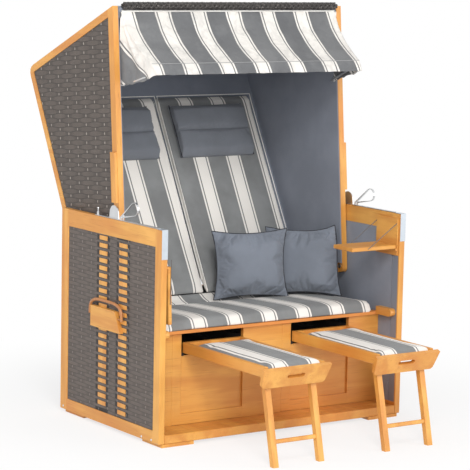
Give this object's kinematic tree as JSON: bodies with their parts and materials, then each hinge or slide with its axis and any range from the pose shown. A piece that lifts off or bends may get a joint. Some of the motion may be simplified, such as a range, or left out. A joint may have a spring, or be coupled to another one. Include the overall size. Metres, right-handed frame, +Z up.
{
  "type": "hooded beach chair",
  "caption": "Hooded beach chair with a woven box, a reclining hood with an awning, drawn-out footrests with folding legs and folding side tables",
  "frame": {"origin": "on the ground under the middle of the chair's box of extents", "axes": "+Z up, the seat faces -Y, +X to the sitter's left as they face -Y"},
  "size_m": [1.188, 1.5486, 1.665],
  "materials": {
    "oiled_wood": "bright honey oiled hardwood with a satin sheen",
    "woven_bands": "flat dark grey-brown plastic bands, woven",
    "slate_cloth": "plain slate grey outdoor cloth",
    "striped_cloth": "grey outdoor cloth with white stripes in groups",
    "plated_steel": "plated steel fittings"
  },
  "bodies": {
    "root": {"side_frame_left": "oiled_wood", "side_frame_right": "oiled_wood", "side_weave_left": "woven_bands", "side_weave_right": "woven_bands", "side_lining_left": "slate_cloth", "side_lining_right": "slate_cloth", "pivot_bolt_left": "plated_steel", "pivot_bolt_right": "plated_steel", "slatted_floor": "oiled_wood", "carcass_front": "oiled_wood", "drawer_case_left": "oiled_wood", "drawer_case_right": "oiled_wood", "seat_board": "oiled_wood", "seat_cushion": "striped_cloth", "seat_rail_left": "oiled_wood", "seat_rail_right": "oiled_wood", "rear_frame": "oiled_wood", "rear_weave": "woven_bands", "corner_guard_left": "plated_steel", "corner_guard_right": "plated_steel", "lock_plate_left": "plated_steel", "lock_plate_right": "plated_steel", "carry_block_left": "oiled_wood", "carry_block_right": "oiled_wood", "table_backing_left": "oiled_wood", "table_backing_right": "oiled_wood", "throw_pillow_left": "slate_cloth", "throw_pillow_right": "slate_cloth"},
    "hood": {"hood_side_left": "oiled_wood", "hood_side_right": "oiled_wood", "hood_weave_left": "woven_bands", "hood_weave_right": "woven_bands", "hood_lining_left": "slate_cloth", "hood_lining_right": "slate_cloth", "hood_roof": "woven_bands", "hood_back": "woven_bands", "braid_roll": "woven_bands", "back_cushion_left": "striped_cloth", "back_cushion_right": "striped_cloth", "neck_pillow_left": "slate_cloth", "neck_pillow_right": "slate_cloth", "awning_fabric": "striped_cloth"},
    "awning_bow": {"awning_bow": "plated_steel"},
    "footrest_left": {"footrest_tray_left": "oiled_wood", "footrest_pad_left": "striped_cloth"},
    "footrest_right": {"footrest_tray_right": "oiled_wood", "footrest_pad_right": "striped_cloth"},
    "legs_left": {"footrest_legs_left": "oiled_wood"},
    "legs_right": {"footrest_legs_right": "oiled_wood"},
    "side_table_left": {"side_table_left": "oiled_wood"},
    "side_table_right": {"side_table_right": "oiled_wood"},
    "table_stays_left": {"table_stays_left": "plated_steel"},
    "table_stays_right": {"table_stays_right": "plated_steel"},
    "carry_bail_left": {"carry_bail_left": "oiled_wood"},
    "carry_bail_right": {"carry_bail_right": "oiled_wood"},
    "lock_bow_left": {"lock_bow_left": "plated_steel"},
    "lock_bow_right": {"lock_bow_right": "plated_steel"},
    "lock_pin_left": {"lock_pin_left": "plated_steel"},
    "lock_pin_right": {"lock_pin_right": "plated_steel"}
  },
  "joints": [
    {"name": "hood_recline", "type": "hinge", "parent": "root", "child": "hood", "pos_m": [0, 0.04549, 0.575], "axis": [-1, 0, 0], "range_deg": [0, 25]},
    {"name": "awning_lift", "type": "hinge", "parent": "hood", "child": "awning_bow", "pos_m": [0, 0.11049, 1.345], "axis": [-1, 0, 0], "range_deg": [0, 60], "deforming": ["awning_fabric"]},
    {"name": "footrest_left_slide", "type": "slide", "parent": "root", "child": "footrest_left", "axis": [0, 1, 0], "range_m": [0, 0.425]},
    {"name": "legs_left_fold", "type": "hinge", "parent": "footrest_left", "child": "legs_left", "pos_m": [-0.259, -0.68451, 0.34], "axis": [1, 0, 0], "range_deg": [0, 103]},
    {"name": "bail_left_swing", "type": "hinge", "parent": "root", "child": "carry_bail_left", "pos_m": [-0.588, 0.07749, 0.45], "axis": [0, -1, 0], "range_deg": [0, 90]},
    {"name": "bow_left_lift", "type": "hinge", "parent": "root", "child": "lock_bow_left", "pos_m": [-0.567, -0.00051, 0.845], "axis": [-1, 0, 0], "range_deg": [0, 40]},
    {"name": "pin_left_lift", "type": "slide", "parent": "root", "child": "lock_pin_left", "axis": [0, 0, 1], "range_m": [0, 0.012]},
    {"name": "footrest_right_slide", "type": "slide", "parent": "root", "child": "footrest_right", "axis": [0, 1, 0], "range_m": [0, 0.425]},
    {"name": "legs_right_fold", "type": "hinge", "parent": "footrest_right", "child": "legs_right", "pos_m": [0.259, -0.68451, 0.34], "axis": [1, 0, 0], "range_deg": [0, 103]},
    {"name": "bail_right_swing", "type": "hinge", "parent": "root", "child": "carry_bail_right", "pos_m": [0.588, 0.07749, 0.45], "axis": [0, 1, 0], "range_deg": [0, 90]},
    {"name": "bow_right_lift", "type": "hinge", "parent": "root", "child": "lock_bow_right", "pos_m": [0.567, -0.00051, 0.845], "axis": [-1, 0, 0], "range_deg": [0, 40]},
    {"name": "pin_right_lift", "type": "slide", "parent": "root", "child": "lock_pin_right", "axis": [0, 0, 1], "range_m": [0, 0.012]},
    {"name": "table_right_fold", "type": "hinge", "parent": "root", "child": "side_table_right", "pos_m": [0.5449, -0.23301, 0.6865], "axis": [0, -1, 0], "range_deg": [0, 88]},
    {"name": "table_left_raise", "type": "hinge", "parent": "root", "child": "side_table_left", "pos_m": [-0.5449, -0.23301, 0.6865], "axis": [0, -1, 0], "range_deg": [0, 88]},
    {"name": "stays_right_turn", "type": "hinge", "parent": "side_table_right", "child": "table_stays_right", "pos_m": [0.4049, -0.23301, 0.697], "axis": [0, -1, 0], "range_deg": [-31.5, 0]},
    {"name": "stays_left_turn", "type": "hinge", "parent": "side_table_left", "child": "table_stays_left", "pos_m": [-0.52952, -0.23301, 0.54695], "axis": [0, -1, 0], "range_deg": [-31.5, 0]}
  ],
  "couplings": [
    {"joint": "stays_right_turn", "follows": "table_right_fold", "ratio": -0.356},
    {"joint": "stays_left_turn", "follows": "table_left_raise", "ratio": -0.356}
  ]
}
